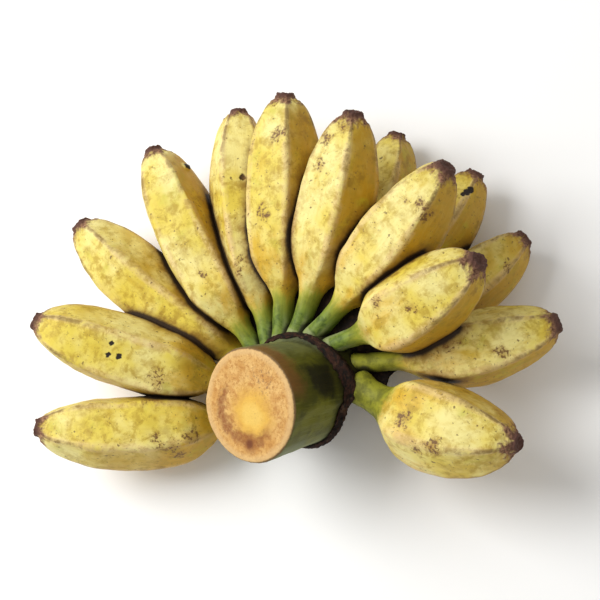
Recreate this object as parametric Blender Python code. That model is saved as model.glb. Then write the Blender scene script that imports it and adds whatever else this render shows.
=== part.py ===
"""A hand of fourteen short, thick cooking bananas on a cut piece of its stalk, lying on a table.

Each fruit is one solid: its neck, its body and its dry flower end. The stalk is one solid: the cut
piece of stem and the crown that the necks grow from. Metres, +Z up, the table at Z = 0.
"""

import math
from typing import NamedTuple

import bmesh
import bpy
from mathutils import Matrix, Vector

MM = 0.001
COLLECTION = "hand_of_bananas"

# Stalk. Heights run up its axis from the bract scar's lowest side, and angles run round its axis.
STALK_RADIUS = 32 * MM
STALK_ABOVE = 48 * MM
STALK_HEADING = -110
STALK_RISE = 49
STALK_SIDES = 36
CUT_CHAMFER = 1.2 * MM

# The bract scar is a ridge all round the stalk, and it climbs toward the fruits.
SCAR_CLIMB = 7.5 * MM
SCAR_SWELL = 2 * MM
SCAR_HALF_WIDTH = 1.8 * MM

# The crown is what is left of the stalk below the scar. It is deep under the fruits and shallow and
# rounded on the bare side, because the hand was cut off at a slant.
CROWN_SWELL = 4 * MM
CROWN_DEPTH = 32 * MM
CROWN_MIDDLE = 100
CROWN_HALF_ANGLE = 118
CROWN_EDGE_ANGLE = 18
BARE_TAPER = 4 * MM
BARE_DEPTH = 5 * MM
BARE_ROUNDING = 9 * MM
SLANT_MIDDLE = 112
SLANT_POWER = 0.7

# Every fruit.
NECK_LENGTH = 22 * MM
NECK_WIDTH = 10.5 * MM
NECK_FLARE = 1.06
SHOULDER_LENGTH = 34 * MM
SHOULDER_POWER = 1.6
TAPER_LENGTH = 44 * MM
TAPER_POWER = 0.7
END_DIAMETER = 16 * MM
FLOWER_END_DIAMETER = 10 * MM
FLOWER_END_LENGTH = 5 * MM
FLOWER_END_TAPER = 0.85
RIDGES = 5
RIDGE_SHARE = 0.045
SIDES_PER_RIDGE = 3
SHOULDER_STEPS = 5
TAPER_STEPS = 5

# Fits. Every two solids that touch keep this clearance.
CLEARANCE = 0.3 * MM
SEAT_DEPTH = 6 * MM
FRONT_ROW = 9.5 * MM
MIDDLE_ROW = 15 * MM
BACK_ROW = 23.5 * MM


class Fruit(NamedTuple):
    """Where one fruit grows and how it lies.

    seat is its angle round the crown and row its depth below the bract scar. Headings are compass
    angles, with 0 along +Y and 90 along +X. Rises are angles above the level, at the neck and the tip.
    """

    seat: float
    row: float
    neck_heading: float
    neck_rise: float
    tip_heading: float
    tip_rise: float
    length: float
    thickness: float
    neck_depth: float
    neck_width: float = NECK_WIDTH
    neck_length: float = NECK_LENGTH
    shoulder: float = SHOULDER_LENGTH


FRUITS = (
    Fruit(196, FRONT_ROW, -104, -2, -84, 6, 142 * MM, 40 * MM, 14 * MM),
    Fruit(174, FRONT_ROW, -78, 0, -69, 8, 147 * MM, 40 * MM, 14 * MM),
    Fruit(160, BACK_ROW, -63, -4, -43, 4, 158 * MM, 39 * MM, 14 * MM),
    Fruit(147, FRONT_ROW, -36, -4, -20, 4, 154 * MM, 38 * MM, 14 * MM),
    Fruit(131, FRONT_ROW, -16, -2, -1, 8, 152 * MM, 36 * MM, 14 * MM),
    Fruit(113, FRONT_ROW, 0, 6, 1, 18, 148 * MM, 40 * MM, 14 * MM),
    Fruit(95, FRONT_ROW, 21, 14, 8, 28, 137 * MM, 40 * MM, 14 * MM),
    Fruit(86, BACK_ROW, 32, -8, 10, 2, 138 * MM, 36 * MM, 14 * MM),
    Fruit(77, FRONT_ROW, 45, 20, 37, 38, 131 * MM, 41 * MM, 14 * MM),
    Fruit(68, BACK_ROW, 55, -4, 27, 8, 134 * MM, 36 * MM, 14 * MM),
    Fruit(
        *(55, FRONT_ROW, 74, 28, 56, 44, 111 * MM, 44 * MM, 15 * MM),
        neck_length=17 * MM,
        shoulder=26 * MM,
    ),
    Fruit(49, BACK_ROW, 71, -2, 46, 8, 125 * MM, 37 * MM, 14 * MM),
    Fruit(29, MIDDLE_ROW, 91, 8, 71, 20, 121 * MM, 39 * MM, 14 * MM),
    Fruit(
        *(6, FRONT_ROW, 129, 22, 99, 34, 108 * MM, 46 * MM, 17 * MM),
        neck_width=18 * MM,
        neck_length=15 * MM,
        shoulder=24 * MM,
    ),
)

PEEL_COLOR = (0.80, 0.62, 0.13, 1)
PEEL_ROUGHNESS = 0.5
STALK_COLOR = (0.12, 0.15, 0.04, 1)
STALK_ROUGHNESS = 0.65
SHARP_ANGLE = 40


def smooth_step(value):
    """0 below 0, 1 above 1 and an even S between them."""
    value = min(max(value, 0), 1)
    return value * value * (3 - 2 * value)


def mix(a, b, share):
    return a + (b - a) * share


def direction(heading, rise):
    heading, rise = math.radians(heading), math.radians(rise)
    level = math.cos(rise)
    return Vector((math.sin(heading) * level, math.cos(heading) * level, math.sin(rise)))


def material(name, color, roughness):
    made = bpy.data.materials.new(name)
    made.use_nodes = True
    shader = made.node_tree.nodes["Principled BSDF"]
    shader.inputs["Base Color"].default_value = color
    shader.inputs["Roughness"].default_value = roughness
    shader.inputs["Metallic"].default_value = 0
    made.diffuse_color = color
    return made


def ring_edges(ring):
    members = set(ring)
    return {edge for vert in ring for edge in vert.link_edges if edge.other_vert(vert) in members}


def loft(bm, rings):
    """A closed skin of triangles over rings of vertices, from the first to the last."""
    for lower, upper in zip(rings, rings[1:]):
        bmesh.ops.bridge_loops(bm, edges=list(ring_edges(lower) | ring_edges(upper)))
    for ring in (rings[0], rings[-1]):
        bmesh.ops.contextual_create(bm, geom=ring)
    bmesh.ops.recalc_face_normals(bm, faces=bm.faces)
    bmesh.ops.triangulate(bm, faces=bm.faces)


def finish(bm, name, look, parent):
    """The object that holds this mesh, under its parent, shaded smooth up to its sharp rims."""
    mesh = bpy.data.meshes.new(name)
    bm.to_mesh(mesh)
    bm.free()
    mesh.materials.append(look)
    mesh.shade_smooth()
    mesh.set_sharp_from_angle(angle=math.radians(SHARP_ANGLE))
    made = bpy.data.objects.new(name, mesh)
    made.parent = parent
    bpy.data.collections[COLLECTION].objects.link(made)
    return made


def stalk_frame():
    """The stalk's axis as local Z, with local Y as near as it can be to the hand's +Y."""
    axis = direction(STALK_HEADING, STALK_RISE)
    right = Vector((0, 1, 0)).cross(axis).normalized()
    return Matrix((right, axis.cross(right), axis)).transposed()


def crown_share(angle):
    """1 where the fruits grow, 0 on the bare side of the stalk."""
    off = abs((math.degrees(angle) - CROWN_MIDDLE + 180) % 360 - 180)
    return smooth_step((CROWN_HALF_ANGLE - off) / CROWN_EDGE_ANGLE)


def scar_height(angle):
    return SCAR_CLIMB * max(math.sin(angle), 0)


def crown_radius(angle):
    """The radius below the scar, where the bare side is slimmer than the upper cut."""
    return STALK_RADIUS + mix(-BARE_TAPER, CROWN_SWELL, crown_share(angle))


def underside_height(angle, share):
    """The height of the slanting underside, at this share of its radius."""
    slant = (1 + share * math.cos(angle - math.radians(SLANT_MIDDLE))) / 2
    return -mix(BARE_DEPTH, CROWN_DEPTH, slant**SLANT_POWER)


def stalk_outline(angle):
    """(radius, height) up the stalk's side at this angle, from the middle of its underside."""
    scar = scar_height(angle)
    base = underside_height(angle, 1)
    under = scar - SCAR_HALF_WIDTH
    over = scar + SCAR_HALF_WIDTH
    crown = crown_radius(angle)
    side = min(crown, STALK_RADIUS)
    rounding = mix(BARE_ROUNDING, CUT_CHAMFER, crown_share(angle))
    corner = base + min(rounding, under - base) * 0.5
    rim = crown - rounding
    return (
        (rim * 0.35, underside_height(angle, 0.35)),
        (rim * 0.7, underside_height(angle, 0.7)),
        (rim, base),
        (crown - rounding * 0.3, corner),
        (crown, mix(corner, under, 0.4)),
        (crown, under),
        (mix(side, crown, 0.5) + SCAR_SWELL, scar),
        (side, over),
        (mix(side, STALK_RADIUS, 0.5), mix(over, STALK_ABOVE, 0.5)),
        (STALK_RADIUS, STALK_ABOVE - CUT_CHAMFER),
        (STALK_RADIUS - CUT_CHAMFER, STALK_ABOVE),
    )


def build_stalk(look, parent):
    bm = bmesh.new()
    rings = []
    for level in range(len(stalk_outline(0))):
        ring = bmesh.ops.create_circle(bm, segments=STALK_SIDES, radius=1)["verts"]
        for vert in ring:
            radius, height = stalk_outline(math.atan2(vert.co.y, vert.co.x))[level]
            vert.co = Vector((vert.co.x * radius, vert.co.y * radius, height))
        rings.append(ring)
    loft(bm, rings)
    made = finish(bm, "stalk", look, parent)
    made.matrix_local = stalk_frame().to_4x4()
    return made


def fruit_stations(fruit):
    """(distance, half width, half depth) of each ring, from inside the crown to the flower end."""
    neck, depth = fruit.neck_width / 2, fruit.neck_depth / 2
    belly, end, tip = fruit.thickness / 2, END_DIAMETER / 2, FLOWER_END_DIAMETER / 2
    neck_end = SEAT_DEPTH + fruit.neck_length
    body_end = fruit.length - FLOWER_END_LENGTH
    stations = [
        (0, neck * NECK_FLARE, depth * NECK_FLARE),
        (SEAT_DEPTH, neck * NECK_FLARE, depth * NECK_FLARE),
        (mix(SEAT_DEPTH, neck_end, 0.5), neck, depth),
    ]
    for step in range(SHOULDER_STEPS + 1):
        share = step / SHOULDER_STEPS
        swell = math.sin(share * math.pi / 2) ** SHOULDER_POWER
        distance = neck_end + fruit.shoulder * share
        stations.append((distance, mix(neck, belly, swell), mix(depth, belly, swell)))
    for step in range(TAPER_STEPS + 1):
        share = step / TAPER_STEPS
        radius = mix(end, belly, math.cos(share * math.pi / 2) ** TAPER_POWER)
        stations.append((body_end - TAPER_LENGTH * (1 - share), radius, radius))
    stations.append((body_end + FLOWER_END_LENGTH * 0.3, tip, tip))
    stations.append((fruit.length, tip * FLOWER_END_TAPER, tip * FLOWER_END_TAPER))
    return stations


def fruit_frame(fruit):
    """The fruit's axes, with local Z along the neck and the bend toward local X, and its bend."""
    neck = direction(fruit.neck_heading, fruit.neck_rise)
    tip = direction(fruit.tip_heading, fruit.tip_rise)
    turn = neck.cross(tip).normalized()
    return Matrix((turn.cross(neck), turn, neck)).transposed(), neck.angle(tip)


def arc_matrix(distance, length, bend):
    """The place and slope, at this distance, of an arc that turns by bend over its length."""
    angle = bend * distance / length
    radius = length / bend
    place = Vector((radius * (1 - math.cos(angle)), 0, radius * math.sin(angle)))
    return Matrix.Translation(place) @ Matrix.Rotation(angle, 4, "Y")


def build_fruit(name, fruit, look, parent):
    """One fruit as a loft of ridged rings along its arc. Its neck is deep along the stalk's axis."""
    axes, bend = fruit_frame(fruit)
    stem = axes.transposed() @ direction(STALK_HEADING, STALK_RISE)
    roll = Matrix.Rotation(math.atan2(stem.y, stem.x), 4, "Z")
    bm = bmesh.new()
    rings = []
    for distance, half_width, half_depth in fruit_stations(fruit):
        place = arc_matrix(distance, fruit.length, bend) @ roll
        ring = bmesh.ops.create_circle(bm, segments=RIDGES * SIDES_PER_RIDGE, radius=1)["verts"]
        for vert in ring:
            ridge = 1 + RIDGE_SHARE * math.cos(RIDGES * math.atan2(vert.co.y, vert.co.x))
            vert.co = place @ Vector((vert.co.x * half_depth * ridge, vert.co.y * half_width * ridge, 0))
        rings.append(ring)
    loft(bm, rings)
    made = finish(bm, name, look, parent)
    seat = math.radians(fruit.seat)
    out = crown_radius(seat) - SEAT_DEPTH
    height = scar_height(seat) - fruit.row
    at = stalk_frame() @ Vector((out * math.cos(seat), out * math.sin(seat), height))
    made.matrix_local = Matrix.Translation(at) @ axes.to_4x4()
    return made


def add_cutter(piece, cutters):
    """A copy of this piece that is larger by the clearance all over."""
    cutter = bpy.data.objects.new(f"{piece.name}_clearance", piece.data)
    cutter.parent = piece.parent
    cutter.matrix_local = piece.matrix_local
    cutter.hide_render = True
    cutter.display_type = "WIRE"
    grow = cutter.modifiers.new("grow", "DISPLACE")
    grow.strength = CLEARANCE
    grow.mid_level = 0
    cutters.objects.link(cutter)
    return cutter


def reach(piece):
    """(middle, radius) of a ball round this piece, in its parent's space."""
    corners = [piece.matrix_local @ Vector(corner) for corner in piece.bound_box]
    middle = sum(corners, Vector()) / len(corners)
    return middle, (corners[0] - middle).length


def press_together(stalk, fruits):
    """Cuts each fruit back, by the clearance, from the stalk and from every earlier fruit it can meet."""
    cutters = bpy.data.collections.new(f"{COLLECTION}_cutters")
    bpy.context.scene.collection.children.link(cutters)
    pieces = [stalk, *fruits]
    grown = [add_cutter(piece, cutters) for piece in pieces]
    for number, fruit in enumerate(fruits, 1):
        middle, radius = reach(fruit)
        for other, cutter in zip(pieces[:number], grown):
            other_middle, other_radius = reach(other)
            if (middle - other_middle).length < radius + other_radius:
                cut = fruit.modifiers.new(f"clear_of_{other.name}", "BOOLEAN")
                cut.object = cutter


def lay_on_table(hand, pieces):
    """Turns the hand until it rests on the face of its hull that its weight presses on."""
    bm = bmesh.new()
    moment, volume = Vector(), 0
    for piece in pieces:
        one = bmesh.new()
        one.from_mesh(piece.data)
        one.transform(piece.matrix_local)
        for face in one.faces:
            a, b, c = (vert.co for vert in face.verts)
            part = a.dot(b.cross(c)) / 6
            volume += part
            moment += (a + b + c) / 4 * part
            for corner in (a, b, c):
                bm.verts.new(corner)
        one.free()
    bmesh.ops.convex_hull(bm, input=bm.verts)
    weight = moment / volume
    faces = [face for face in bm.faces if face.calc_area() > 0]
    down = Vector((0, 0, -1))
    for _ in faces:
        # The face that the weight's line leaves the hull through. A level face ends the search.
        under = min(
            (face for face in faces if face.normal.dot(down) > 0),
            key=lambda face: face.normal.dot(face.verts[0].co - weight) / face.normal.dot(down),
        )
        if under.normal.dot(down) > 1 - 1e-9:
            break
        down = under.normal.copy()
    turn = down.rotation_difference(Vector((0, 0, -1))).to_matrix().to_4x4()
    points = [turn @ vert.co for vert in bm.verts]
    bm.free()
    low = Vector(min(point[axis] for point in points) for axis in range(3))
    high = Vector(max(point[axis] for point in points) for axis in range(3))
    rest = Vector(((low.x + high.x) / 2, (low.y + high.y) / 2, low.z))
    hand.matrix_local = Matrix.Translation(-rest) @ turn


def main():
    for old in list(bpy.data.objects):
        bpy.data.objects.remove(old)
    parts = bpy.data.collections.new(COLLECTION)
    bpy.context.scene.collection.children.link(parts)
    hand = bpy.data.objects.new("hand", None)
    parts.objects.link(hand)
    peel = material("peel", PEEL_COLOR, PEEL_ROUGHNESS)
    stem = material("stalk", STALK_COLOR, STALK_ROUGHNESS)
    stalk = build_stalk(stem, hand)
    fruits = [
        build_fruit(f"banana_{number:02d}", fruit, peel, hand)
        for number, fruit in enumerate(FRUITS, 1)
    ]
    bpy.context.view_layer.update()
    lay_on_table(hand, [stalk, *fruits])
    press_together(stalk, fruits)


main()
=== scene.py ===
import math

import bpy
import numpy as np
from mathutils import Matrix, Vector, noise
from mathutils.bvhtree import BVHTree


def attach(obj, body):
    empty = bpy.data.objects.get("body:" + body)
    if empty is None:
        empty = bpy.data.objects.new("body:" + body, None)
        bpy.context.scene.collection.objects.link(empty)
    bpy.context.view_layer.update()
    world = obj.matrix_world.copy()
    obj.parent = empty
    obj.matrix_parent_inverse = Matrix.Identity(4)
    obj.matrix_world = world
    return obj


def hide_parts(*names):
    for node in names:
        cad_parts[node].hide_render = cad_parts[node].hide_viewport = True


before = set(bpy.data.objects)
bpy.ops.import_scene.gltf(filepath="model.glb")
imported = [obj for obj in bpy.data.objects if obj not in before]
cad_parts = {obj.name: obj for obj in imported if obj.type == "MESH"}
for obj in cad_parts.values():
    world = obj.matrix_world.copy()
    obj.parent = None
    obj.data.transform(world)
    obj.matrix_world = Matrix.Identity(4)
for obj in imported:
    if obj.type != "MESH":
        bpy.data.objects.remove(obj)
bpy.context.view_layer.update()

MM = 0.001


# The stem's axis is square to its cut, which is the largest flat of its CAD solid. Heights along it
# start at the scar that the bract left, and the stem's own right and up lie across it.
stem_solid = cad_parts["stalk"].data
flats = {}
for flat in stem_solid.polygons:
    facing = tuple(round(part, 2) for part in flat.normal)
    flats.setdefault(facing, []).append(flat)
cut_flats = max(flats.values(), key=lambda found: sum(flat.area for flat in found))
STEM_ABOVE_SCAR = 48 * MM
stem_axis = cut_flats[0].normal.copy()
cut_area = sum(flat.area for flat in cut_flats)
cut_middle = sum((flat.center * flat.area for flat in cut_flats), Vector()) / cut_area
scar_middle = cut_middle - stem_axis * STEM_ABOVE_SCAR
stem_right = Vector((0, 1, 0)).cross(stem_axis).normalized()
stem_axes = Matrix((stem_right, stem_axis.cross(stem_right), stem_axis))


# The table is a plain pale sheet. A large soft light stands high at the left, a weaker one at the
# lower right, and the room is white all round. The camera looks steeply down on the hand.
def studio_light(name, place, size, watts):
    """A square soft light that faces the hand."""
    bpy.ops.object.light_add(type="AREA", location=place)
    light = bpy.context.object
    light.name = name
    light.rotation_euler = (look_at - Vector(place)).to_track_quat("-Z", "Y").to_euler()
    light.data.size = size
    light.data.energy = watts


PALE_GREY = (0.94, 0.94, 0.93, 1)
WARM_WHITE = (1, 0.99, 0.97, 1)
TABLE_SIZE = 8

bpy.ops.object.select_all(action="DESELECT")
bpy.ops.mesh.primitive_plane_add(size=TABLE_SIZE)
table = bpy.context.object
table.name = "table_top"
table_paint = bpy.data.materials.new("pale_paint")
table_paint.use_nodes = True
paint_shader = table_paint.node_tree.nodes["Principled BSDF"]
paint_shader.inputs["Base Color"].default_value = PALE_GREY
paint_shader.inputs["Roughness"].default_value = 0.7
table.data.materials.append(table_paint)

look_at = scar_middle + Vector((1.1, 52.7, 12.6)) * MM
studio_light("key_light", (-0.78, 0.26, 1.02), 0.8, 17)
studio_light("fill_light", (0.9, -0.8, 0.8), 1.2, 1)
room = bpy.data.worlds.new("white_room")
room.use_nodes = True
room_light = room.node_tree.nodes["Background"]
room_light.inputs["Color"].default_value = WARM_WHITE
room_light.inputs["Strength"].default_value = 0.5
bpy.context.scene.world = room
bpy.context.scene.view_settings.view_transform = "Standard"

CAMERA_DISTANCE = 808 * MM
toward_camera = Vector((0.224, -0.231, 0.947)).normalized()
camera_right = Vector((0.050, 0.973, 0.226)).cross(toward_camera).normalized()
camera_axes = (camera_right, toward_camera.cross(camera_right), toward_camera)
bpy.ops.object.camera_add()
camera = bpy.context.object
camera.name = "camera"
camera_place = look_at + toward_camera * CAMERA_DISTANCE
camera_turn = Matrix(camera_axes).transposed().to_quaternion()
camera.matrix_world = Matrix.LocRotScale(camera_place, camera_turn, None)
camera.data.lens = 85
camera.data.sensor_width = 36
bpy.context.scene.camera = camera


# The fruits are short, thick cooking bananas with five blunt ridges, each on a green neck and with
# the flower's dry stub. Each is drawn out ring by ring, smoothed, bent and laid in its place. They
# aren't dented: where two press together in the hand, their skins pass into each other.
RIDGES = 5
RIDGE_STEP = 360 / RIDGES
COLUMNS = 2 * RIDGES
NECK_RINGS = ((0, 1.1), (6, 1.1), (8.5, 1.04), (13, 0.97))  # how far along in mm, times its size
NECK_STRAIGHT = 6 * MM
SHOULDER_SHARES = (0.04, 0.25, 0.46, 0.7, 1)
SHOULDER_SWELL = 1.6
TAPER = 44 * MM
TAPER_SHARES = (0, 0.3, 0.55, 0.75, 0.9, 1)
TAPER_BLUNT = 0.7
END_WIDTH = 16 * MM
STUB_LENGTH = 5 * MM
# (how far past the body's end, how wide) in mm of the stub's rings: its side, lip and sunken top
STUB_RINGS = ((1, 13.6), (2.2, 11.8), (3.6, 10.6), (4.7, 10), (5, 8.6), (4.3, 6), (3.8, 3))
# This points to the key light: peel turned away from it gets painted shade, a deeper ochre.
KEY_LIGHT_SIDE = Vector((-0.72, 0.12, 0.68)).normalized()
BACK_ROW = ("banana_08", "banana_10", "banana_12")
# Back-row fruits start with this much more of that painted ochre shade.
BACK_ROW_DEEPER = 0.16
DRAWN_OUT = 1.068  # makes up for what smoothing draws a ten-sided skin in
RIDGE_PROUD = 1.1
RIDGE_CREASE = 0.55
FLAT_SUNK = 0.94
LUMP_HEIGHT = 2.2 * MM
STUB_WRINKLES = 1.6 * MM
DRY_LENGTH = 9 * MM
DRY_FADE = 5 * MM
CREVICE_REACH = 10 * MM

# name: three points in mm on the line through its middle, at its neck's start, halfway and tip
FRUIT_LINES = {
    "banana_01": ((-15.0, -66.7, 14.8), (-83.2, -78.1, 30.6), (-150.9, -77.3, 51.7)),
    "banana_02": ((-17.3, -55.8, 17.7), (-85.9, -38.1, 37.1), (-151.4, -15.2, 61.3)),
    "banana_03": ((-11.3, -45.9, 9.5), (-76.8, -4.3, 23.5), (-133.0, 48.1, 41.3)),
    "banana_04": ((-15.8, -44.0, 25.7), (-55.8, 21.1, 34.5), (-85.4, 91.1, 46.6)),
    "banana_05": ((-12.1, -38.4, 30.9), (-27.4, 35.7, 37.7), (-31.6, 110.7, 48.6)),
    "banana_06": ((-6.0, -34.0, 36.6), (-2.7, 38.7, 50.2), (2.8, 109.5, 70.9)),
    "banana_07": ((1.8, -32.1, 41.7), (26.3, 29.3, 59.1), (45.2, 89.4, 85.9)),
    "banana_08": ((12.0, -28.6, 31.6), (40.4, 33.0, 20.0), (58.4, 99.5, 17.3)),
    "banana_09": ((10.3, -32.8, 45.5), (56.4, 9.8, 63.9), (98.5, 50.9, 92.5)),
    "banana_10": ((20.6, -30.7, 34.6), (68.8, 14.2, 23.5), (106.7, 69.2, 22.5)),
    "banana_11": ((20.6, -37.2, 47.9), (70.4, -22.1, 67.1), (114.8, -2.8, 94.0)),
    "banana_12": ((29.2, -35.5, 36.0), (84.4, -8.8, 24.4), (133.7, 29.1, 20.3)),
    "banana_13": ((33.1, -45.1, 42.6), (93.4, -41.3, 40.5), (152.1, -27.9, 45.4)),
    "banana_14": ((36.3, -56.9, 43.8), (81.6, -83.3, 56.2), (130.7, -97.5, 73.2)),
}
LONG_NECK = (10.5, 14, 28)  # width, depth and where it ends, in mm
# name: (thickness, neck, shoulder in mm, turn of its ridges in degrees)
FRUIT_SIZES = {
    "banana_01": (40, LONG_NECK, 34, 44),
    "banana_02": (40, LONG_NECK, 34, 43),
    "banana_03": (39, LONG_NECK, 34, 38),
    "banana_04": (38, LONG_NECK, 34, 60),
    "banana_05": (36, LONG_NECK, 34, 7),
    "banana_06": (40, LONG_NECK, 34, 42),
    "banana_07": (40, LONG_NECK, 34, 37),
    "banana_08": (36, LONG_NECK, 34, 44),
    "banana_09": (41, LONG_NECK, 34, 37),
    "banana_10": (36, LONG_NECK, 34, 21),
    "banana_11": (44, (10.5, 15, 23), 26, 47),
    "banana_12": (37, LONG_NECK, 34, 29),
    "banana_13": (39, LONG_NECK, 34, 32),
    "banana_14": (46, (18, 17, 21), 24, 11),
}
# name: (how far along in mm, angle round it in degrees, how wide in mm, what it is) of its marks
BLEMISHES = {
    "banana_01": (
        (70, -20, 10, "bruise"), (61, -28, 13, "bruise"), (52, -18, 12, "bruise"),
        (58, -55, 12, "bruise"), (74, 48, 12, "bruise"), (52, 70, 16, "bruise"),
    ),
    "banana_02": (
        (97.5, 26, 4, "pit"), (97, 6, 4, "pit"), (90.5, 9, 4.6, "pit"), (86, 22, 3, "pit"),
        (66, -12, 15, "bruise"),
    ),
    "banana_04": (
        (134.6, 112, 5, "scab"), (62, -38, 6, "bruise"), (57, -30, 6, "bruise"),
        (67, 26, 8, "bruise"),
    ),
    "banana_05": ((107, 43, 5, "pit"), (59, 19, 8, "bruise"), (53, 7, 7, "bruise")),
    "banana_06": ((123, 26, 12, "bruise"), (77, 1, 14, "bruise"), (143, -9, 8, "bruise")),
    "banana_07": ((121, -21, 11, "bruise"), (105, -9, 10, "bruise"), (128, 5, 8, "bruise")),
    "banana_09": ((111, 25, 8, "bruise"), (107, 44, 12, "bruise"), (106, 0, 6, "bruise")),
    "banana_10": ((121, 24, 5, "pit"), (118.5, 18, 5, "pit"), (116, 13, 3.4, "pit")),
    "banana_11": ((54, -21, 10, "bruise"), (72, 12, 9, "bruise")),
    "banana_12": ((103, 21, 9, "bruise"),),
    "banana_13": ((88, 11, 10, "bruise"), (62, -19, 12, "bruise")),
    "banana_14": ((60, 23, 9, "bruise"), (70, 7, 11, "bruise"), (50, -10, 12, "bruise")),
}
STANDS_OUT = {"pit": -0.7 * MM, "scab": 2.2 * MM, "bruise": 0}


def fruit_line(points):
    """(frame, length, bend) of the arc through three points: it starts along Z, bending to X."""
    start, middle, end = (Vector(point) * MM for point in points)
    chord, bulge = end - start, middle - (start + end) / 2
    bend = 4 * math.atan(2 * bulge.length / chord.length)
    length = chord.length / 2 / math.sin(bend / 2) * bend
    chord.normalize()
    bulge.normalize()
    along = chord * math.cos(bend / 2) + bulge * math.sin(bend / 2)
    inward = chord * math.sin(bend / 2) - bulge * math.cos(bend / 2)
    frame_of_line = Matrix((inward, along.cross(inward), along)).transposed().to_4x4()
    return Matrix.Translation(start) @ frame_of_line, length, bend


def fruit_rings(length, thickness, neck, shoulder):
    """(distance, width, depth) of each ring of the skin, from inside the crown to the stub."""
    body_end = length - STUB_LENGTH
    neck_width, neck_depth, neck_end = neck
    rings = [(along * MM, neck_width * size, neck_depth * size) for along, size in NECK_RINGS]
    rings.append((neck_end - NECK_STRAIGHT, neck_width, neck_depth))
    for share in SHOULDER_SHARES:
        swell = math.sin(share * math.pi / 2) ** SHOULDER_SWELL
        width = neck_width + (thickness - neck_width) * swell
        depth = neck_depth + (thickness - neck_depth) * swell
        rings.append((neck_end + shoulder * share, width, depth))
    for share in TAPER_SHARES:
        width = END_WIDTH + (thickness - END_WIDTH) * math.cos(share * math.pi / 2) ** TAPER_BLUNT
        rings.append((body_end - TAPER * (1 - share), width, width))
    for distance, width in STUB_RINGS:
        rings.append((body_end + distance * MM, width * MM, width * MM))
    return rings


def fruit_skin(name, length, thickness, neck, shoulder, ridge_turn):
    """A straight fruit that stands on its neck, drawn out ring by ring and smoothed."""
    rings = fruit_rings(length, thickness, neck, shoulder)
    ridges_from, ridges_to = neck[2] + 4 * MM, length - STUB_LENGTH + 1.2 * MM
    bpy.ops.object.select_all(action="DESELECT")
    first_column = math.radians(ridge_turn - 90)  # a new circle's first point is on +Y
    bpy.ops.mesh.primitive_circle_add(
        vertices=COLUMNS, radius=0.5 * DRAWN_OUT, rotation=(0, 0, first_column)
    )
    skin = bpy.context.object
    skin.name = name
    bpy.ops.object.transform_apply(location=False, rotation=True, scale=False)
    bpy.ops.object.mode_set(mode="EDIT")
    bpy.ops.mesh.select_all(action="SELECT")
    bpy.ops.transform.resize(value=(rings[0][2], rings[0][1], 1))
    for (near, near_width, near_depth), (far, width, depth) in zip(rings, rings[1:]):
        bpy.ops.mesh.extrude_region_move(TRANSFORM_OT_translate={"value": (0, 0, far - near)})
        scale = (depth / near_depth, width / near_width, 1)
        bpy.ops.transform.resize(value=scale, center_override=(0, 0, far))
    bpy.ops.mesh.edge_face_add()
    bpy.ops.mesh.select_all(action="DESELECT")
    bpy.ops.object.mode_set(mode="OBJECT")
    for vert in skin.data.vertices:
        vert.select = vert.co.z < MM
    bpy.ops.object.mode_set(mode="EDIT")
    bpy.ops.mesh.edge_face_add()
    bpy.ops.mesh.select_all(action="DESELECT")
    bpy.ops.object.mode_set(mode="OBJECT")
    half_step = RIDGE_STEP / 2
    for column_turn, scale, crease in ((0, RIDGE_PROUD, RIDGE_CREASE), (half_step, FLAT_SUNK, 0)):
        for vert in skin.data.vertices:
            turned = math.degrees(math.atan2(vert.co.y, vert.co.x)) - ridge_turn - column_turn
            in_column = abs((turned + half_step) % RIDGE_STEP - half_step) < RIDGE_STEP / 8
            vert.select = in_column and ridges_from < vert.co.z < ridges_to
        bpy.ops.object.mode_set(mode="EDIT")
        bpy.ops.transform.resize(value=(scale, scale, 1), center_override=(0, 0, 0))
        bpy.ops.transform.edge_crease(value=crease)
        bpy.ops.mesh.select_all(action="DESELECT")
        bpy.ops.object.mode_set(mode="OBJECT")
    bpy.ops.object.mode_set(mode="EDIT")
    bpy.ops.mesh.select_all(action="SELECT")
    bpy.ops.mesh.normals_make_consistent(inside=False)
    bpy.ops.object.mode_set(mode="OBJECT")
    smooth = skin.modifiers.new("smooth", "SUBSURF")
    smooth.levels = smooth.render_levels = 3
    bpy.ops.object.modifier_apply(modifier=smooth.name)
    bpy.ops.object.shade_smooth()
    return skin


def keep_on_points(piece, name, values):
    """Keeps one number for each point of the piece, which its finish reads by this name."""
    kept = piece.data.attributes.new(name, "FLOAT", "POINT")
    kept.data.foreach_set("value", np.array(values, np.float32))


def note_growth(skin, length, number, ridge_turn, blemishes):
    """Keeps on the skin's points their place on the straight fruit and what blemish they carry."""
    points = np.empty(len(skin.data.vertices) * 3, np.float32)
    skin.data.vertices.foreach_get("co", points)
    points = points.reshape(-1, 3)
    grown = skin.data.attributes.new("grown", "FLOAT_VECTOR", "POINT")
    grown.data.foreach_set("vector", points.ravel())
    marks = np.zeros_like(points)
    marks[:, 2] = length - points[:, 2]
    shaped = points.copy()
    girth = np.hypot(points[:, 0], points[:, 1])
    turned = np.arctan2(points[:, 1], points[:, 0])
    for distance, angle, width, kind in blemishes:
        round_it = (turned - math.radians(angle) + np.pi) % (2 * np.pi) - np.pi
        off = np.hypot(points[:, 2] - distance * MM, round_it * girth) / (width / 2 * MM)
        column = 1 if kind == "bruise" else 0
        marks[:, column] = np.maximum(marks[:, column], 1.5 - off)
        outward = 1 + STANDS_OUT[kind] * np.clip(1.4 - off, 0, 1) / np.maximum(girth, MM)
        shaped[:, :2] *= outward[:, None]
    kept = skin.data.attributes.new("marks", "FLOAT_VECTOR", "POINT")
    kept.data.foreach_set("vector", marks.ravel())
    keep_on_points(skin, "fruit_number", np.full(len(points), number))
    from_ridge = turned - math.radians(ridge_turn)
    keep_on_points(skin, "ridge", 0.5 + 0.5 * np.cos(RIDGES * from_ridge))
    skin.data.vertices.foreach_set("co", shaped.ravel())


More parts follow.
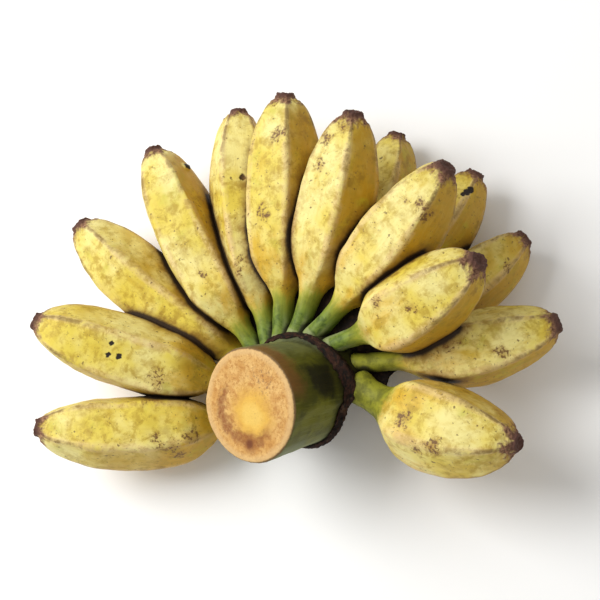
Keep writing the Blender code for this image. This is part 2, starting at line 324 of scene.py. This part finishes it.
lumps = bpy.data.textures.new("peel_lumps", "CLOUDS")
lumps.noise_scale = 0.022
lumps.noise_depth = 2
wrinkles = bpy.data.textures.new("dry_wrinkles", "CLOUDS")
wrinkles.noise_scale = 0.0022
wrinkles.noise_depth = 1


def push_out(piece, pattern, height, group=""):
    """Raises and sinks the piece's skin by this pattern, where the group says."""
    push = piece.modifiers.new("push", "DISPLACE")
    push.texture = pattern
    push.strength = height
    push.mid_level = 0.5
    push.vertex_group = group
    bpy.context.view_layer.objects.active = piece
    bpy.ops.object.modifier_apply(modifier=push.name)


def grow_fruit(name, number):
    """One fruit in its place: rolled so that its neck is deep along the stem, bent, and laid in."""
    thickness, neck, shoulder, ridge_turn = FRUIT_SIZES[name]
    placed, length, bend = fruit_line(FRUIT_LINES[name])
    neck = [size * MM for size in neck]
    skin = fruit_skin(
        f"fruit_{number:02d}", length, thickness * MM, neck, shoulder * MM, ridge_turn
    )
    note_growth(skin, length, number, ridge_turn, BLEMISHES.get(name, ()))
    stub = skin.vertex_groups.new(name="stub")
    for vert in skin.data.vertices:
        dry = min(max((vert.co.z - length + DRY_LENGTH) / DRY_FADE, 0), 1)
        if dry:
            stub.add([vert.index], dry, "REPLACE")
    toward_stem = placed.to_3x3().transposed() @ stem_axis
    skin.rotation_euler = (0, 0, math.atan2(toward_stem.y, toward_stem.x))
    bpy.ops.object.transform_apply(location=False, rotation=True, scale=False)
    curl = skin.modifiers.new("curl", "SIMPLE_DEFORM")
    curl.deform_method = "BEND"
    curl.deform_axis = "Y"
    curl.angle = bend
    bpy.ops.object.modifier_apply(modifier=curl.name)
    skin.matrix_world = placed
    bpy.ops.object.transform_apply(location=True, rotation=True, scale=True)
    push_out(skin, lumps, LUMP_HEIGHT)
    push_out(skin, wrinkles, STUB_WRINKLES, "stub")
    # Painted shade: the more a point faces away from the key light, the higher its shaded value,
    # and back-row fruits start higher.
    ochre_start = 0.5 + (BACK_ROW_DEEPER if name in BACK_ROW else 0)
    shades = [ochre_start - 0.5 * vert.normal.dot(KEY_LIGHT_SIDE) for vert in skin.data.vertices]
    keep_on_points(skin, "shaded", shades)
    return skin


class Wire:
    """A socket of a finish. Sums on it add Math nodes, and node() adds a node of any other kind."""

    def __init__(self, tree, socket=None):
        self.tree = tree
        self.socket = socket

    def node(self, kind, settings=(), inputs=(), output=0):
        made = self.tree.nodes.new(f"ShaderNode{kind}")
        for name, value in dict(settings).items():
            setattr(made, name, value)
        for name, value in dict(inputs).items():
            if isinstance(value, Wire):
                self.tree.links.new(value.socket, made.inputs[name])
            else:
                made.inputs[name].default_value = value
        return Wire(self.tree, made.outputs[output])

    def math(self, operation, *values):
        return self.node("Math", {"operation": operation}, enumerate(values))

    def __add__(self, other):
        return self.math("ADD", self, other)

    def __sub__(self, other):
        return self.math("SUBTRACT", self, other)

    def __rsub__(self, other):
        return self.math("SUBTRACT", other, self)

    def __mul__(self, other):
        return self.math("MULTIPLY", self, other)

    def __truediv__(self, other):
        return self.math("DIVIDE", self, other)

    __radd__ = __add__
    __rmul__ = __mul__

    def rises(self, low, high):
        """0 below low and 1 above high, with an even S between. It falls if high is below low."""
        limits = {"Value": self, "From Min": low, "From Max": high}
        return self.node("MapRange", {"interpolation_type": "SMOOTHSTEP"}, limits)

    def blend(self, plain, marked):
        """The plain colour where this is 0 and the marked one where it is 1."""
        return self.node("Mix", {"data_type": "RGBA"}, {0: self, 6: plain, 7: marked}, 2)

    def parts(self):
        return [self.node("SeparateXYZ", (), {0: self}, axis) for axis in range(3)]

    def stretched(self, amounts):
        return self.node("VectorMath", {"operation": "MULTIPLY"}, {0: self, 1: amounts})

    def grain(self, scale, detail=2, roughness=0.5, seed=0, twist=0):
        """Smooth noise from 0 to 1 over this place, with this many lumps to the metre."""
        how = {"Vector": self, "W": seed, "Scale": scale, "Detail": detail, "Roughness": roughness}
        return self.node("TexNoise", {"noise_dimensions": "4D"}, {**how, "Distortion": twist})


def new_finish(name):
    """(material, wire that starts its nodes, shader) of a new finish."""
    made = bpy.data.materials.new(name)
    made.use_nodes = True
    return made, Wire(made.node_tree), made.node_tree.nodes["Principled BSDF"]


def bake_in(wire, shader, socket):
    """Links a wire to a socket of the shader."""
    wire.tree.links.new(wire.socket, shader.inputs[socket])


def skin_tree(piece):
    """(search tree of its faces, lowest corner, highest corner) of a piece."""
    points = [vert.co.copy() for vert in piece.data.vertices]
    faces = [tuple(face.vertices) for face in piece.data.polygons]
    low = Vector(min(point[axis] for point in points) for axis in range(3))
    high = Vector(max(point[axis] for point in points) for axis in range(3))
    return BVHTree.FromPolygons(points, faces), low, high


def note_crevices(piece, neighbours, reach):
    """Keeps on its points how deep they lie in a crevice: 1 at a neighbour, 0 past reach."""
    depths = []
    for vert in piece.data.vertices:
        off = reach
        for tree, low, high in neighbours:
            if all(low[axis] - reach < vert.co[axis] < high[axis] + reach for axis in range(3)):
                off = min(off, tree.find_nearest(vert.co, off)[3] or reach)
        depths.append(1 - off / reach)
    keep_on_points(piece, "crevice", depths)


# Colours of the peel, from its yellows to its marks, its painted shade, its neck and its stub.
PALE_YELLOW = (0.82, 0.72, 0.27, 1)
DEEP_YELLOW = (0.72, 0.57, 0.075, 1)
PAINTED_SHADE_OCHRE = (0.50, 0.275, 0.010, 1)
CLOUDED_OCHRE = (0.58, 0.40, 0.03, 1)
BLUSH_ORANGE = (0.68, 0.37, 0.025, 1)
UNRIPE_YELLOW = (0.48, 0.45, 0.035, 1)
FIBRE_OCHRE = (0.60, 0.43, 0.07, 1)
SCURF_TAN = (0.70, 0.50, 0.25, 1)
MOTTLE_TAN = (0.42, 0.27, 0.022, 1)
SMUDGE_BROWN = (0.31, 0.17, 0.014, 1)
FRECKLE_BROWN = (0.16, 0.085, 0.025, 1)
SPECK_BROWN = (0.13, 0.07, 0.02, 1)
RIDGE_BROWN = (0.20, 0.13, 0.04, 1)
BRUISE_TAN = (0.36, 0.20, 0.03, 1)
BRUISE_BROWN = (0.13, 0.055, 0.018, 1)
PIT_BLACK = (0.018, 0.010, 0.006, 1)
# The next two colours are painted shade in the crevices between fruits.
CREVICE_SHADE_BROWN = (0.24, 0.12, 0.018, 1)
CREVICE_SHADE_BLACK = (0.020, 0.010, 0.007, 1)
NECK_GREEN = (0.17, 0.24, 0.030, 1)
NECK_DARK_GREEN = (0.075, 0.12, 0.016, 1)
NECK_YELLOW_GREEN = (0.36, 0.36, 0.035, 1)
OLIVE = (0.34, 0.32, 0.025, 1)
DARK_OLIVE = (0.17, 0.16, 0.014, 1)
RIM_PALE_GREEN = (0.34, 0.38, 0.17, 1)
NECK_CREVICE_SHADE_BLACK = (0.020, 0.020, 0.008, 1)
STUB_BROWN = (0.12, 0.052, 0.030, 1)
STUB_TAN = (0.34, 0.18, 0.095, 1)
STUB_DARK_BROWN = (0.095, 0.042, 0.030, 1)

HALF_NECK = 5.25 * MM
NECK_RIM_END = 11.2 * MM
PATTERN_STEP = 3.7  # moves the noise on from fruit to fruit, so that no two are marked alike
peel, start, peel_shader = new_finish("peel")
grown = start.node("Attribute", {"attribute_name": "grown"}, (), 1)
marks = start.node("Attribute", {"attribute_name": "marks"}, (), 1)
own = start.node("Attribute", {"attribute_name": "fruit_number"}, (), 2) * PATTERN_STEP
crevice = start.node("Attribute", {"attribute_name": "crevice"}, (), 2)
ridge = start.node("Attribute", {"attribute_name": "ridge"}, (), 2)
shaded = start.node("Attribute", {"attribute_name": "shaded"}, (), 2)
across, aside, along = grown.parts()
pits, bruises, from_tip = marks.parts()

patches = grown.grain(38, 3, 0.55, own)
mottle = grown.grain(150, 5, 0.68, own, 0.4)
freckles = grown.grain(620, 3, 0.6, own)
fibres = grown.stretched((1, 1, 0.1)).grain(520, 3, 0.6, own)
clouds = grown.stretched((1, 1, 0.45)).grain(70, 4, 0.62, own + 11)

yellow = patches.rises(0.38, 0.66).blend(PALE_YELLOW, DEEP_YELLOW)
# Painted shade: peel turned away from the key light is painted ochre, broken up by random patches,
# and the smudges below grow stronger there.
turned_away_shade = (shaded + (patches - 0.5) * 0.5).rises(0.32, 0.58)
yellow = (turned_away_shade * 0.95).blend(yellow, PAINTED_SHADE_OCHRE)
yellow = (clouds.rises(0.52, 0.7) * 0.9).blend(yellow, CLOUDED_OCHRE)
blush = (1 - along.rises(0.045, 0.08)) * clouds.rises(0.42, 0.6)
yellow = (blush * 0.55).blend(yellow, BLUSH_ORANGE)
greenish = grown.grain(55, 3, 0.6, own + 23).rises(0.56, 0.72)
yellow = (greenish * 0.6).blend(yellow, UNRIPE_YELLOW)
yellow = (fibres.rises(0.45, 0.75) * 0.35).blend(yellow, FIBRE_OCHRE)
scurf = ridge.rises(0.82, 1.0) * (clouds + mottle).rises(0.8, 1.15) * along.rises(0.032, 0.05)
yellow = (scurf * 0.7).blend(yellow, SCURF_TAN)
tanned = mottle.rises(0.46, 0.64) * patches.rises(0.25, 0.55)
tan = (tanned * 0.75).blend(yellow, MOTTLE_TAN)
smudges = grown.grain(95, 5, 0.68, own + 31).rises(0.53, 0.68)
tan = (smudges * (0.35 + turned_away_shade * 0.4)).blend(tan, SMUDGE_BROWN)
tan = (freckles.rises(0.6, 0.68) * clouds.rises(0.4, 0.6) * 0.85).blend(tan, FRECKLE_BROWN)
specks = grown.grain(330, 2, 0.5, own + 5).rises(0.66, 0.73)
tan = (specks * 0.8).blend(tan, SPECK_BROWN)
ridge_line = ridge.rises(0.93, 1.0) * (1 - from_tip.rises(0.012, 0.05)) * mottle.rises(0.35, 0.6)
tan = (ridge_line * 0.8).blend(tan, RIDGE_BROWN)
bruised = (bruises + (mottle - 0.5) * 2.6).rises(0.3, 1.5)
tan = (bruised * 0.6).blend(tan, BRUISE_TAN)
spotted = bruised.rises(0.1, 0.6) * (freckles + (mottle - 0.5) * 0.5).rises(0.5, 0.58)
tan = (spotted * 0.85).blend(tan, BRUISE_BROWN)
pitted = (pits + (freckles - 0.5) * 0.8).rises(0.5, 0.75)
tan = pitted.blend(tan, PIT_BLACK)
# Painted shade: where fruits lie close to each other the peel is painted brown and, closest in,
# near black.
crevice_shade_broad = (crevice + (mottle - 0.5) * 0.9).rises(0.15, 0.8)
tan = (crevice_shade_broad * 0.75).blend(tan, CREVICE_SHADE_BROWN)
crevice_shade_dark = (crevice + (mottle - 0.5) * 0.3).rises(0.62, 0.84)
tan = (crevice_shade_dark * 0.95).blend(tan, CREVICE_SHADE_BLACK)

green_end = along + (clouds - 0.5) * 0.020 + (fibres - 0.5) * 0.012
greenness = 1 - green_end.rises(0.026, 0.037)
green = mottle.rises(0.4, 0.6).blend(NECK_GREEN, NECK_DARK_GREEN)
green = green_end.rises(0.016, 0.034).blend(green, NECK_YELLOW_GREEN)
yellowed = own.rises(45, 46)  # only fruits 13 and 14 are past this, and their necks have turned
olive = mottle.rises(0.4, 0.62).blend(OLIVE, DARK_OLIVE)
green = (yellowed * 0.75).blend(green, olive)
edge_side = start.math("ABSOLUTE", aside) / HALF_NECK
edge_below = (NECK_RIM_END - along) / 0.0045
neck_rim = start.math("MAXIMUM", edge_side, edge_below).rises(0.58, 0.9)
neck_rim = neck_rim * across.rises(0.0, 0.003) * (1 - along.rises(0.012, 0.024)) * (1 - yellowed)
green = (neck_rim * 0.6).blend(green, RIM_PALE_GREEN)
# Painted shade: the necks' tight crevices are painted near black too.
green = (crevice_shade_dark * 0.9).blend(green, NECK_CREVICE_SHADE_BLACK)
skin_color = greenness.blend(tan, green)

tip_edge = from_tip + (mottle - 0.5) * 0.012 + (fibres - 0.5) * 0.010 - ridge * 0.0025
tip_brown = 1 - tip_edge.rises(0.0022, 0.0068)
dry = freckles.rises(0.35, 0.65).blend(STUB_BROWN, STUB_TAN)
dry = (1 - from_tip.rises(0.001, 0.005)).blend(dry, STUB_DARK_BROWN)
skin_color = tip_brown.blend(skin_color, dry)
bake_in(skin_color, peel_shader, "Base Color")
peel_shader.inputs["Specular IOR Level"].default_value = 0.3
bake_in(0.46 + mottle * 0.16 + tip_brown * 0.3 + greenness * 0.05, peel_shader, "Roughness")
relief = mottle * 0.25 + fibres * 0.3 + freckles * 0.12 - pitted * 0.8 - bruised * 0.15
relief = relief + tip_brown * freckles * 1.5 + neck_rim * greenness * 0.6 + scurf * freckles * 0.4
peel_bump = {"Strength": 0.55, "Distance": 0.0009, "Height": relief}
bake_in(start.node("Bump", (), peel_bump), peel_shader, "Normal")

fruits = {name: grow_fruit(name, number) for number, name in enumerate(FRUIT_LINES, 1)}
fruit_trees = {name: skin_tree(fruit) for name, fruit in fruits.items()}
for name, fruit in fruits.items():
    others = [tree for other, tree in fruit_trees.items() if other != name]
    note_crevices(fruit, others, CREVICE_REACH)
    fruit.data.materials.append(peel)
    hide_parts(name)
    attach(fruit, "root")


# The stalk is the piece of stem that the hand was cut off with, and the crown under the scar. Its
# shape is its CAD solid's, worn smooth all over, with a green skin and a sawn, fibrous top.
STALK_VOXEL = 0.9 * MM
STALK_LUMPS = 1.6 * MM
STALK_CREVICE = 2.2 * MM

bpy.ops.object.select_all(action="DESELECT")
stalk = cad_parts["stalk"].copy()
stalk.data = stem_solid.copy()
stalk.name = "cut_stalk"
stalk.parent = None
bpy.context.scene.collection.objects.link(stalk)
stalk.select_set(True)
bpy.context.view_layer.objects.active = stalk
bpy.ops.object.mode_set(mode="EDIT")
bpy.ops.mesh.select_all(action="SELECT")
bpy.ops.mesh.remove_doubles(threshold=0.01 * MM)
bpy.ops.object.mode_set(mode="OBJECT")
even = stalk.modifiers.new("even", "REMESH")
even.mode = "VOXEL"
even.voxel_size = STALK_VOXEL
bpy.ops.object.modifier_apply(modifier=even.name)
worn = stalk.modifiers.new("worn", "SMOOTH")
worn.factor = 0.5
worn.iterations = 4
bpy.ops.object.modifier_apply(modifier=worn.name)
bpy.ops.object.shade_smooth()
push_out(stalk, lumps, STALK_LUMPS)

note_crevices(stalk, list(fruit_trees.values()), STALK_CREVICE)
keep_on_points(stalk, "faces_down", [-vert.normal.dot(stem_axis) for vert in stalk.data.vertices])

# Colours of the green skin and its painted shade, of the sawn top and of the old lower cut.
BARK_DARK_GREEN = (0.055, 0.058, 0.006, 1)
BARK_GREEN = (0.140, 0.142, 0.012, 1)
STREAK_GREEN = (0.17, 0.18, 0.04, 1)
BLOTCH_GREEN = (0.040, 0.045, 0.012, 1)
BLOOM_GREY_GREEN = (0.24, 0.27, 0.14, 1)
BARK_RED_BROWN = (0.20, 0.085, 0.025, 1)
STAIN_BLACK = (0.008, 0.008, 0.006, 1)
COLLAR_SHADE_BLACK = (0.016, 0.015, 0.006, 1)
CROWN_DARK_BROWN = (0.045, 0.025, 0.014, 1)
STALK_CREVICE_SHADE_BLACK = (0.018, 0.016, 0.008, 1)
WOOD_PALE = (0.72, 0.45, 0.16, 1)
WOOD_TAN = (0.56, 0.29, 0.08, 1)
FIBRE_BROWN = (0.44, 0.20, 0.05, 1)
RING_PALE = (0.68, 0.46, 0.21, 1)
CORE_ORANGE = (0.70, 0.41, 0.07, 1)
CORE_YELLOW = (0.78, 0.53, 0.13, 1)
CRESCENT_BROWN = (0.24, 0.075, 0.022, 1)
CRESCENT_DARK = (0.13, 0.035, 0.018, 1)
FLECK_BROWN = (0.24, 0.13, 0.06, 1)
GRAIN_BROWN = (0.36, 0.18, 0.07, 1)
EDGE_BROWN = (0.20, 0.12, 0.05, 1)
OLD_WOOD_DARK = (0.13, 0.065, 0.026, 1)
OLD_WOOD_PALE = (0.32, 0.19, 0.085, 1)
OLD_WOOD_ROT = (0.055, 0.028, 0.014, 1)

bark, start, bark_shader = new_finish("stalk")
row_place = start.node("TexCoord", (), (), 3)
to_stem = {"Location": -(stem_axes @ scar_middle), "Rotation": stem_axes.to_euler()}
at_stem = start.node("Mapping", (), {"Vector": row_place, **to_stem})
right, up, height = at_stem.parts()
crevice = start.node("Attribute", {"attribute_name": "crevice"}, (), 2)
faces_down = start.node("Attribute", {"attribute_name": "faces_down"}, (), 2)
radius = start.math("SQRT", right * right + up * up)
angle = start.math("ARCTAN2", up, right)
broad = at_stem.grain(45, 3, 0.5)
rough = at_stem.grain(160, 5, 0.65, 3)
fine = at_stem.grain(700, 4, 0.65, 5)
lines = at_stem.stretched((1, 1, 0.07)).grain(500, 4, 0.65, 7)


def near(middle_right, middle_up, reach):
    """1 at this place across the stem and 0 past its reach, with a ragged edge."""
    off_right, off_up = (right - middle_right) / reach, (up - middle_up) / reach
    off = start.math("SQRT", off_right * off_right + off_up * off_up)
    return 1 - (off + (rough - 0.5) * 0.9).rises(0.35, 1.0)


skin = broad.rises(0.38, 0.6).blend(BARK_DARK_GREEN, BARK_GREEN)
skin = (lines.rises(0.5, 0.72) * 0.5).blend(skin, STREAK_GREEN)
skin = (rough.rises(0.52, 0.66) * 0.5).blend(skin, BLOTCH_GREEN)
past_front = (angle + (broad - 0.5) * 1.6).rises(-0.75, -1.35)
bloom = past_front * (angle + (rough - 0.5)).rises(-2.6, -2.1)
bloom = start.math("MAXIMUM", bloom, (up + (broad - 0.5) * 0.03).rises(0.019, 0.03) * 0.6)
skin = (bloom * (0.45 + lines * 0.5)).blend(skin, BLOOM_GREY_GREEN)
reddened = (height + (rough - 0.5) * 0.02).rises(0.031, 0.043) * up.rises(-0.004, 0.008)
skin = (reddened * right.rises(0.0, 0.012) * 0.8).blend(skin, BARK_RED_BROWN)
stain = (height + (broad - 0.5) * 0.03).rises(0.004, 0.011)
stain = stain * (1 - (height + (rough - 0.5) * 0.02 - up * 0.5).rises(0.021, 0.029))
stain = stain * (up + (rough - 0.5) * 0.012).rises(-0.006, 0.001)
stain = stain * (1 - (up + (rough - 0.5) * 0.01).rises(0.014, 0.020))
skin = (stain * right.rises(0.0, 0.012) * 0.9).blend(skin, STAIN_BLACK)
# Painted shade: the skin next to the bract collar, on the stem's right side, is painted near black.
collar_shade = 1 - (height + (rough - 0.5) * 0.012 - up * 0.15).rises(0.002, 0.011)
skin = (collar_shade * right.rises(-0.02, 0.02) * 0.8).blend(skin, COLLAR_SHADE_BLACK)
# The crown below the scar, away from the stem's top side, is painted dark brown.
low_down = 1 - (height + (rough - 0.5) * 0.01).rises(-0.004, 0.006)
crown_darkened = low_down * (1 - up.rises(-0.004, 0.012))
skin = (crown_darkened * 0.85).blend(skin, CROWN_DARK_BROWN)
# Painted shade: where the stalk lies close to a fruit, its skin is painted near black.
crevice_shade_dark = (crevice + (rough - 0.5) * 0.5).rises(0.25, 0.7)
skin = (crevice_shade_dark * 0.85).blend(skin, STALK_CREVICE_SHADE_BLACK)

spokes = at_stem.stretched((1, 1, 0.3)).grain(420, 5, 0.75, 9, 0.6)  # cut ends of its fibres
wood = rough.rises(0.35, 0.65).blend(WOOD_PALE, WOOD_TAN)
wood = (spokes.rises(0.46, 0.6) * 0.75).blend(wood, FIBRE_BROWN)
ring = radius + (rough - 0.5) * 0.006
wood = (ring.rises(0.0262, 0.0294) * 0.65).blend(wood, RING_PALE)
wood = near(0.0015, -0.0045, 0.019).blend(wood, CORE_ORANGE)
wood = (near(0.0012, -0.0055, 0.010) * 0.8).blend(wood, CORE_YELLOW)
off_ring = start.math("ABSOLUTE", radius + (rough - 0.5) * 0.014 + (broad - 0.5) * 0.008 - 0.0195)
stained_side = near(-0.0135, -0.0135, 0.030)
browned = (1 - off_ring.rises(0.001, 0.0055)) * stained_side.rises(0.0, 0.45)
browned = start.math("MAXIMUM", browned, near(-0.0030, -0.0205, 0.0080))
wood = (browned * (0.25 + fine * 0.95)).blend(wood, CRESCENT_BROWN)
wood = (near(-0.0035, -0.0205, 0.004) * 0.8).blend(wood, CRESCENT_DARK)
flecked = near(0.0120, 0.0125, 0.0110) * fine.rises(0.54, 0.6)
wood = (flecked * 0.75).blend(wood, FLECK_BROWN)
wood = (fine.rises(0.6, 0.68) * 0.5).blend(wood, GRAIN_BROWN)
wood = (radius + (fine - 0.5) * 0.0012).rises(0.0306, 0.0314).blend(wood, EDGE_BROWN)

old_cut = spokes.rises(0.4, 0.6).blend(OLD_WOOD_DARK, OLD_WOOD_PALE)
old_cut = (rough.rises(0.48, 0.62) * 0.8).blend(old_cut, OLD_WOOD_ROT)
is_below = faces_down.rises(0.86, 0.95) * (1 - height.rises(-0.012, -0.008))
skin = is_below.blend(skin, old_cut)

is_cut = (height + (fine - 0.5) * 0.0006).rises(0.0464, 0.0470)
bake_in(is_cut.blend(skin, wood), bark_shader, "Base Color")
bark_shader.inputs["Specular IOR Level"].default_value = 0.22
bake_in(0.42 + rough * 0.2 + bloom * 0.15 + is_cut * 0.15, bark_shader, "Roughness")
relief = is_cut * (spokes * 0.8 + fine * 0.5 + browned * -0.5)
relief = relief + (1 - is_cut) * (lines * 0.5 + rough * 0.4) + is_below * spokes
bark_bump = {"Strength": 0.7, "Distance": 0.0011, "Height": relief}
bake_in(start.node("Bump", (), bark_bump), bark_shader, "Normal")
stalk.data.materials.clear()
stalk.data.materials.append(bark)
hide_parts("stalk")
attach(stalk, "root")


# The bract that once covered the hand was torn off here. What is left of it is a dark, dry collar
# round the stem: thin over the front necks, thick and folded on the right, and ragged all along.
COLLAR_POINTS = 260
COLLAR_START = 42 * MM
COLLAR_FOLDS = 9
COLLAR_STEP = 1 * MM
COLLAR_THICK = 0.8 * MM
SCAR_CLIMB = 7.5 * MM
STEM_REACH = 20 * MM


def collar_height(angle):
    """Half the collar's height at this angle round the stem, in mm."""
    right_side = max(math.cos(angle + math.radians(8)), 0) ** 2.2
    return 0.9 + 3.2 * right_side + 0.9 * max(-math.sin(angle), 0)


bpy.ops.object.select_all(action="DESELECT")
bpy.ops.mesh.primitive_circle_add(vertices=COLLAR_POINTS, radius=COLLAR_START)
collar = bpy.context.object
collar.name = "bract_scar"
bpy.ops.object.mode_set(mode="EDIT")
bpy.ops.mesh.select_all(action="SELECT")
for fold in range(COLLAR_FOLDS):
    bpy.ops.mesh.extrude_region_move(TRANSFORM_OT_translate={"value": (0, 0, COLLAR_STEP)})
bpy.ops.object.mode_set(mode="OBJECT")
folds = []
for vert in collar.data.vertices:
    turn = math.atan2(vert.co.y, vert.co.x)
    share = vert.co.z / COLLAR_STEP / COLLAR_FOLDS
    wave = noise.noise(Vector((math.cos(turn), math.sin(turn), share * 0.4)) * 6)
    torn = noise.noise(Vector((math.cos(turn), math.sin(turn), share * 3)) * 17)
    climb = SCAR_CLIMB * max(math.sin(turn), 0)
    spread = (share * 2 - 1.2) * collar_height(turn) * (1 + torn * 0.5)
    vert.co.z = climb + (spread + wave * 0.5) * MM
    lip = 1 - abs(((share + wave * 0.12) * 3) % 1 * 2 - 1)
    edge = math.sin(share * math.pi)
    folds.append((0.15 + (1.1 * lip + 0.7 * torn) * edge * (0.1 + collar_height(turn) / 2.8)) * MM)
collar.matrix_world = Matrix.Translation(scar_middle) @ stem_axes.transposed().to_4x4()
bpy.ops.object.transform_apply(location=True, rotation=True, scale=True)
stem_tree = skin_tree(stalk)[0]
for vert, fold in zip(collar.data.vertices, folds):
    outward = vert.co - scar_middle
    outward = (outward - stem_axis * outward.dot(stem_axis)).normalized()
    on_stem = stem_tree.ray_cast(vert.co + outward * STEM_REACH, -outward)[0]
    vert.co = (on_stem or vert.co) + outward * fold
thick = collar.modifiers.new("thick", "SOLIDIFY")
thick.thickness = COLLAR_THICK
thick.offset = -1
bpy.ops.object.modifier_apply(modifier=thick.name)
bpy.ops.object.mode_set(mode="EDIT")
bpy.ops.mesh.select_all(action="SELECT")
bpy.ops.mesh.normals_make_consistent(inside=False)
bpy.ops.object.mode_set(mode="OBJECT")
bpy.ops.object.shade_smooth()

HUSK_BLACK = (0.004, 0.003, 0.002, 1)
HUSK_BROWN = (0.050, 0.018, 0.010, 1)
HUSK_TAN = (0.11, 0.06, 0.035, 1)

husk, start, husk_shader = new_finish("dry_bract")
row_place = start.node("TexCoord", (), (), 3)
at_stem = start.node("Mapping", (), {"Vector": row_place, **to_stem})
layers = at_stem.stretched((0.25, 0.25, 1)).grain(900, 5, 0.75)
patches = at_stem.grain(220, 4, 0.6)
husk_color = layers.rises(0.4, 0.62).blend(HUSK_BLACK, HUSK_BROWN)
husk_color = (patches.rises(0.55, 0.68) * 0.7).blend(husk_color, HUSK_TAN)
bake_in(husk_color, husk_shader, "Base Color")
bake_in(0.6 + layers * 0.3, husk_shader, "Roughness")
husk_shader.inputs["Specular IOR Level"].default_value = 0.2
husk_bump = {"Strength": 1, "Distance": 0.0016, "Height": layers}
bake_in(start.node("Bump", (), husk_bump), husk_shader, "Normal")
collar.data.materials.append(husk)
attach(collar, "root")


# Between the necks lies a thin web, almost black, that stands where there is only shade: it is
# painted shade. It is spread from the crown along the necks of the upper row, and sits a little
# below their middles.
WEB_ACROSS = 6
WEB_ALONG = 12
WEB_LENGTHS = {
    "banana_01": 40, "banana_02": 52, "banana_03": 58, "banana_04": 60, "banana_05": 56,
    "banana_06": 52, "banana_07": 52, "banana_09": 50, "banana_11": 42, "banana_13": 40,
    "banana_14": 20,
}
WEB_BELOW = 3
WEB_SAG = 2
WEB_SCALLOP = 0.34
WEB_THICK = 1.5 * MM
WEB_WRINKLES = 1.2 * MM


def web_point(name, share):
    """A point just below the middle of a fruit, at this share of the web's length along it."""
    placed, length, bend = fruit_line(FRUIT_LINES[name])
    radius, turned = length / bend, WEB_LENGTHS[name] * MM * share / length * bend
    on_line = Vector((radius * (1 - math.cos(turned)), 0, radius * math.sin(turned)))
    return placed @ on_line - stem_axis * (WEB_BELOW + WEB_BELOW * share) * MM


bpy.ops.object.select_all(action="DESELECT")
web_fruits = list(WEB_LENGTHS)
web_columns = WEB_ACROSS * (len(web_fruits) - 1)
bpy.ops.mesh.primitive_grid_add(x_subdivisions=web_columns, y_subdivisions=WEB_ALONG, size=1)
web = bpy.context.object
web.name = "shade_web"
for vert in web.data.vertices:
    column, share = (vert.co.x + 0.5) * web_columns / WEB_ACROSS, vert.co.y + 0.5
    left = min(int(column + 0.001), len(web_fruits) - 2)
    between = column - left
    edge = math.sin(between * math.pi)
    share *= 1 - WEB_SCALLOP * edge
    near_left, near_right = (web_point(name, share) for name in web_fruits[left : left + 2])
    vert.co = near_left.lerp(near_right, between) - stem_axis * edge * WEB_SAG * MM
thick = web.modifiers.new("thick", "SOLIDIFY")
thick.thickness = WEB_THICK
thick.offset = 0
bpy.ops.object.modifier_apply(modifier=thick.name)
bpy.ops.object.mode_set(mode="EDIT")
bpy.ops.mesh.select_all(action="SELECT")
bpy.ops.mesh.normals_make_consistent(inside=False)
bpy.ops.object.mode_set(mode="OBJECT")
smooth = web.modifiers.new("smooth", "SUBSURF")
smooth.levels = smooth.render_levels = 2
bpy.ops.object.modifier_apply(modifier=smooth.name)
bpy.ops.object.shade_smooth()
push_out(web, wrinkles, WEB_WRINKLES)

# Colours of the web: near black, painted shade.
SHADE_SHEET_BLACK = (0.007, 0.004, 0.003, 1)
SHADE_SHEET_BROWN = (0.035, 0.018, 0.010, 1)

shade_sheet_finish, start, shade_sheet_shader = new_finish("shade_sheet_paint")
row_place = start.node("TexCoord", (), (), 3)
patches = row_place.grain(240, 4, 0.6)
shade_sheet_color = patches.rises(0.45, 0.7).blend(SHADE_SHEET_BLACK, SHADE_SHEET_BROWN)
bake_in(shade_sheet_color, shade_sheet_shader, "Base Color")
bake_in(0.7 + patches * 0.25, shade_sheet_shader, "Roughness")
shade_sheet_bump = {"Strength": 0.7, "Distance": 0.0008, "Height": patches}
bake_in(start.node("Bump", (), shade_sheet_bump), shade_sheet_shader, "Normal")
shade_sheet_shader.inputs["Specular IOR Level"].default_value = 0.2
web.data.materials.append(shade_sheet_finish)
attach(web, "root")
